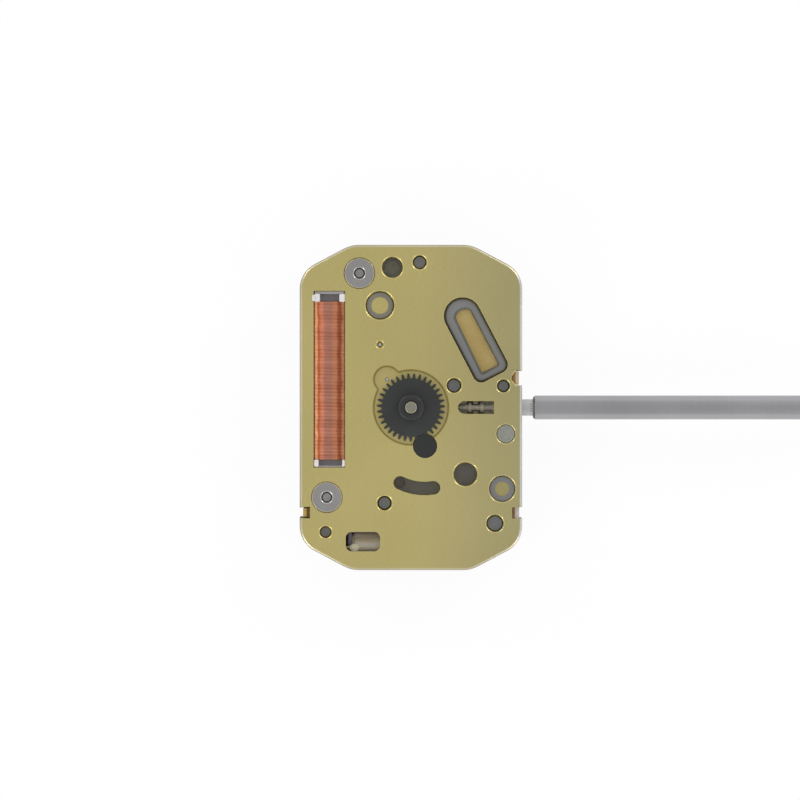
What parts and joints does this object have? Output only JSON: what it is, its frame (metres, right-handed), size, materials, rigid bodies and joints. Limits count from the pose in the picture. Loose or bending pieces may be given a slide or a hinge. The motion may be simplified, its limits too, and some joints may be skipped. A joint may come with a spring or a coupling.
{
  "type": "quartz watch movement",
  "caption": "Rectangular cut-corner quartz watch movement with dial-side motion work, drive coil, setting stem and a lift-out button cell.",
  "frame": {"origin": "the hand axis at the dial face of the main plate", "axes": "+Z towards the dial, +X out along the setting stem to 3 o'clock, +Y to 12 o'clock"},
  "size_m": [0.0221, 0.0134, 0.0037],
  "materials": {
    "plate_brass": "brushed and matt gold plated",
    "frame_grey": "moulded",
    "gold": "gold plated",
    "wheel_brass": "polished",
    "steel": "satin turned",
    "bright_steel": "polished",
    "pillar_steel": "satin",
    "core_metal": "annealed, dull",
    "copper": "enamelled copper wire",
    "white_resin": "cured resin",
    "magnet": "sintered",
    "black_gear": "moulded, dark",
    "board_green": "solder mask",
    "chip_black": "potting resin",
    "seal": "moulded nylon"
  },
  "bodies": {
    "plate_and_frame": {"main_plate": "plate_brass", "movement_frame": "frame_grey", "frame_rivet": "gold", "coil_pillars": "pillar_steel", "coil_screws": "bright_steel", "coil_core": "core_metal", "coil_winding": "copper", "winding_turns": "copper", "coil_end_blocks": "core_metal", "coil_corner_pads": "white_resin", "stator": "core_metal", "rotor_seat": "frame_grey", "rotor_bush": "gold", "setting_stud": "bright_steel", "jumper_spring": "bright_steel", "train_bridge": "wheel_brass", "bridge_bushes": "gold", "bridge_screws": "bright_steel", "circuit_board": "board_green", "circuit_chip": "chip_black", "quartz_can": "bright_steel", "quartz_leads": "bright_steel", "contact_panel": "gold", "negative_contact": "gold", "positive_contact": "gold", "back_cover": "gold", "cover_screws": "bright_steel"},
    "rotor": {"rotor_magnet": "magnet", "rotor_arbor": "steel"},
    "intermediate_set": {"intermediate_arbor": "steel", "intermediate_wheel": "wheel_brass"},
    "third_set": {"third_arbor": "steel", "third_wheel": "wheel_brass"},
    "minute_set": {"centre_wheel": "wheel_brass", "minute_arbor": "bright_steel"},
    "minute_wheel_set": {"minute_wheel": "black_gear"},
    "hour_set": {"hour_wheel": "black_gear"},
    "setting_mid_set": {"setting_wheel_mid": "wheel_brass"},
    "setting_set": {"setting_wheel": "wheel_brass"},
    "slide_set": {"setting_slide": "steel"},
    "stem_set": {"stem": "steel"},
    "yoke_set": {"yoke": "steel"},
    "clutch_set": {"clutch_pinion": "steel"},
    "stop_set": {"stop_lever": "steel"},
    "cell_set": {"cell_can": "bright_steel", "cell_gasket": "seal", "cell_cap": "bright_steel"}
  },
  "joints": [
    {"name": "minute_post_turn", "type": "hinge", "parent": "plate_and_frame", "child": "minute_set", "pos_m": [0, 0, 0], "axis": [0, 0, 1], "continuous": true},
    {"name": "third_wheel_turn", "type": "hinge", "parent": "plate_and_frame", "child": "third_set", "pos_m": [-0.00099, 0.00116, 0], "axis": [0, 0, 1], "continuous": true},
    {"name": "intermediate_wheel_turn", "type": "hinge", "parent": "plate_and_frame", "child": "intermediate_set", "pos_m": [-0.00128, 0.0026, 0], "axis": [0, 0, 1], "continuous": true},
    {"name": "rotor_turn", "type": "hinge", "parent": "plate_and_frame", "child": "rotor", "pos_m": [-0.00128, 0.00422, 0], "axis": [0, 0, 1], "continuous": true},
    {"name": "minute_wheel_turn", "type": "hinge", "parent": "plate_and_frame", "child": "minute_wheel_set", "pos_m": [0.00058, -0.00159, 0], "axis": [0, 0, 1], "continuous": true},
    {"name": "hour_wheel_turn", "type": "hinge", "parent": "plate_and_frame", "child": "hour_set", "pos_m": [0, 0, 0], "axis": [0, 0, 1], "continuous": true},
    {"name": "setting_wheel_mid_turn", "type": "hinge", "parent": "plate_and_frame", "child": "setting_mid_set", "pos_m": [0.00264, -0.00117, 0], "axis": [0, 0, 1], "continuous": true},
    {"name": "setting_wheel_turn", "type": "hinge", "parent": "plate_and_frame", "child": "setting_set", "pos_m": [0.00392, -0.00109, 0], "axis": [0, 0, 1], "continuous": true},
    {"name": "stem_pull", "type": "slide", "parent": "plate_and_frame", "child": "slide_set", "axis": [1, 0, 0], "range_m": [0, 0.00045]},
    {"name": "stem_turn", "type": "hinge", "parent": "slide_set", "child": "stem_set", "pos_m": [0, 0, -0.001], "axis": [1, 0, 0], "continuous": true},
    {"name": "yoke_shift", "type": "slide", "parent": "plate_and_frame", "child": "yoke_set", "axis": [1, 0, 0], "range_m": [0, 0.00035]},
    {"name": "clutch_turn", "type": "hinge", "parent": "yoke_set", "child": "clutch_set", "pos_m": [0, 0, -0.001], "axis": [1, 0, 0], "continuous": true},
    {"name": "stop_lever_swing", "type": "hinge", "parent": "plate_and_frame", "child": "stop_set", "pos_m": [0.00178, 0.00091, 0], "axis": [0, 0, 1], "range_deg": [-8.01, 0]},
    {"name": "cell_lift", "type": "slide", "parent": "plate_and_frame", "child": "cell_set", "axis": [0, 0, -1], "range_m": [0, 0.0018]}
  ],
  "couplings": [
    {"joint": "third_wheel_turn", "follows": "minute_post_turn", "ratio": -4},
    {"joint": "intermediate_wheel_turn", "follows": "minute_post_turn", "ratio": 20},
    {"joint": "rotor_turn", "follows": "minute_post_turn", "ratio": -60},
    {"joint": "minute_wheel_turn", "follows": "minute_post_turn", "ratio": -0.29167},
    {"joint": "hour_wheel_turn", "follows": "minute_post_turn", "ratio": 0.083333},
    {"joint": "setting_wheel_mid_turn", "follows": "minute_post_turn", "ratio": 0.48276},
    {"joint": "setting_wheel_turn", "follows": "minute_post_turn", "ratio": -0.77778},
    {"joint": "yoke_shift", "follows": "stem_pull", "ratio": 0.77778},
    {"joint": "clutch_turn", "follows": "stem_turn", "ratio": 1},
    {"joint": "stop_lever_swing", "follows": "stem_pull", "rad_per_m": -310.28}
  ]
}
